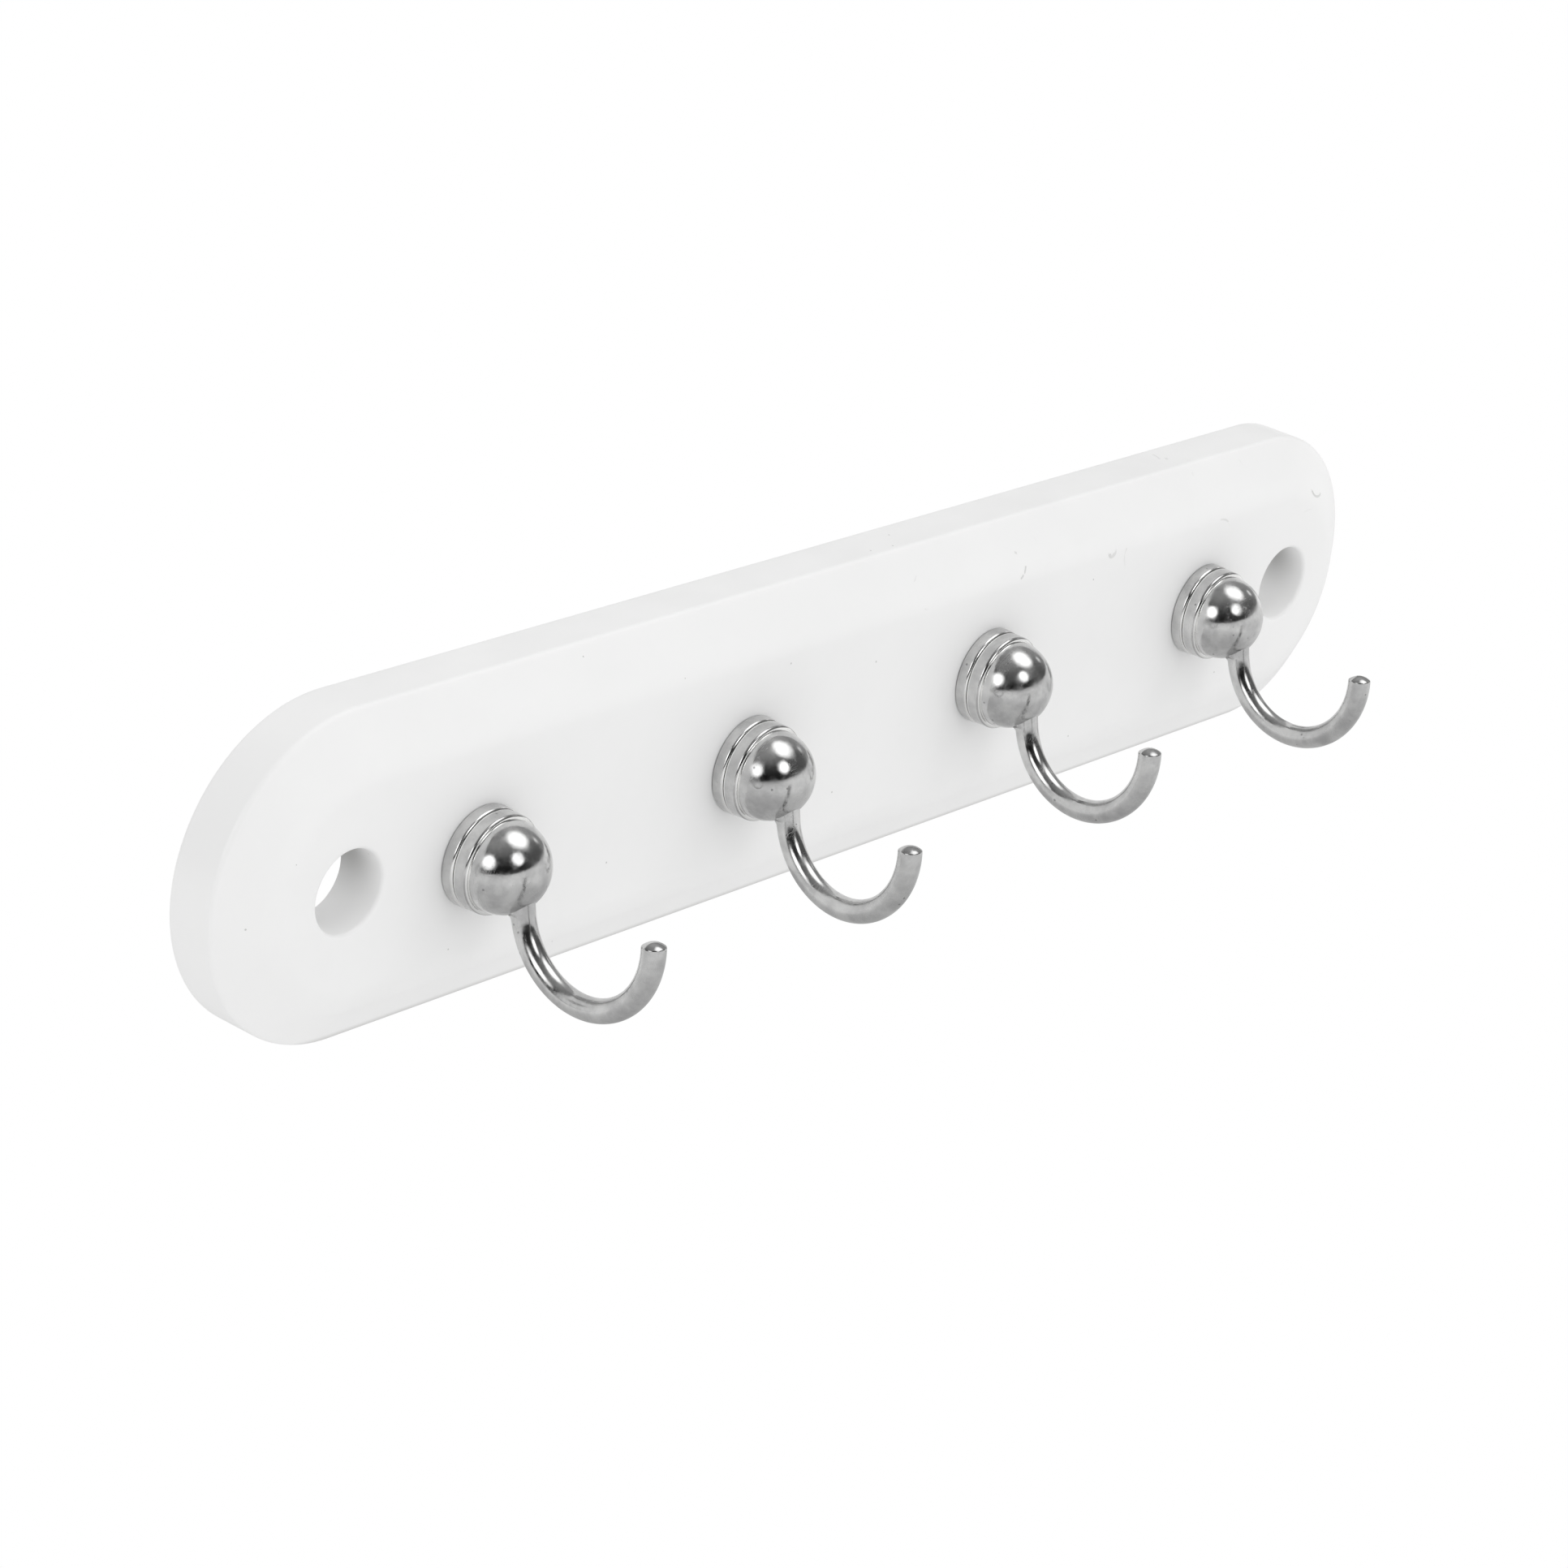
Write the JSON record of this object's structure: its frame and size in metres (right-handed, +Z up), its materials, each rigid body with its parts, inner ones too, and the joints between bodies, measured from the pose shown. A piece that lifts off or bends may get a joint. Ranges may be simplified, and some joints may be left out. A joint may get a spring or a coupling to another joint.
{
  "type": "hook rail",
  "caption": "Wall-mounted hook rail: a round-ended bevelled board carrying a row of domed hooks with upturned round-rod arms.",
  "frame": {"origin": "centre of the board's back face, which lies against the wall", "axes": "+X along the board, to the right seen from the room; +Z up; the hooks reach out along -Y, away from the wall"},
  "size_m": [0.318, 0.057, 0.06],
  "materials": {
    "white_paint": "satin white lacquer over a wood-fibre board",
    "nickel_plate": "bright nickel plate over a metal casting",
    "zinc_steel": "bright zinc-plated steel"
  },
  "bodies": {
    "root": {"board": "white_paint", "base_ring_1": "nickel_plate", "collar_ring_1": "nickel_plate", "knob_1": "nickel_plate", "arm_1": "nickel_plate", "washer_1": "zinc_steel", "screw_1": "zinc_steel", "base_ring_2": "nickel_plate", "collar_ring_2": "nickel_plate", "knob_2": "nickel_plate", "arm_2": "nickel_plate", "washer_2": "zinc_steel", "screw_2": "zinc_steel", "base_ring_3": "nickel_plate", "collar_ring_3": "nickel_plate", "knob_3": "nickel_plate", "arm_3": "nickel_plate", "washer_3": "zinc_steel", "screw_3": "zinc_steel", "base_ring_4": "nickel_plate", "collar_ring_4": "nickel_plate", "knob_4": "nickel_plate", "arm_4": "nickel_plate", "washer_4": "zinc_steel", "screw_4": "zinc_steel"}
  },
  "joints": []
}
